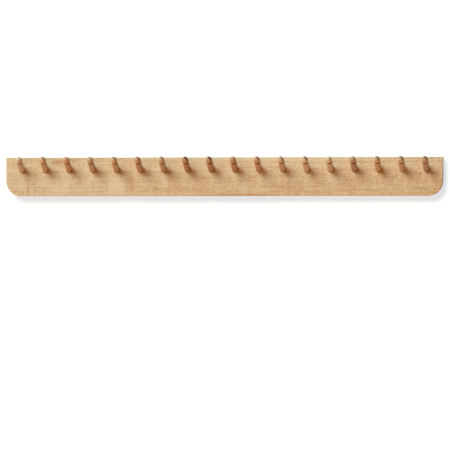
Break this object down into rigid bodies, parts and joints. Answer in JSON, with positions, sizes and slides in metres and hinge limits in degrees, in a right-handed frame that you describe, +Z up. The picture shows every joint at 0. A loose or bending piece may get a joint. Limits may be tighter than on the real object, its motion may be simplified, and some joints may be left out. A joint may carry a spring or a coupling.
{
  "type": "peg rail",
  "caption": "Long plain wooden board with a row of turned pegs set at an upward angle, hung flat on a wall by hidden steel keyhole plates.",
  "frame": {"origin": "centre of the board's back face, which lies against the wall", "axes": "+X along the rail to the viewer's right, +Y out of the back face into the wall, +Z up; the pegs point to -Y and up"},
  "size_m": [1.016, 0.073, 0.0904],
  "materials": {
    "board_wood": "clear satin maple, grain along the board",
    "peg_wood": "clear satin hardwood, grain along the peg",
    "plate_steel": "zinc plated",
    "screw_steel": "zinc plated"
  },
  "bodies": {
    "root": {"rail_board": "board_wood", "peg_01": "peg_wood", "peg_02": "peg_wood", "peg_03": "peg_wood", "peg_04": "peg_wood", "peg_05": "peg_wood", "peg_06": "peg_wood", "peg_07": "peg_wood", "peg_08": "peg_wood", "peg_09": "peg_wood", "peg_10": "peg_wood", "peg_11": "peg_wood", "peg_12": "peg_wood", "peg_13": "peg_wood", "peg_14": "peg_wood", "peg_15": "peg_wood", "peg_16": "peg_wood", "peg_17": "peg_wood", "peg_18": "peg_wood", "hanger_left": "plate_steel", "hanger_right": "plate_steel", "hanger_screw_left_top": "screw_steel", "hanger_screw_left_bottom": "screw_steel", "hanger_screw_right_top": "screw_steel", "hanger_screw_right_bottom": "screw_steel"}
  },
  "joints": []
}
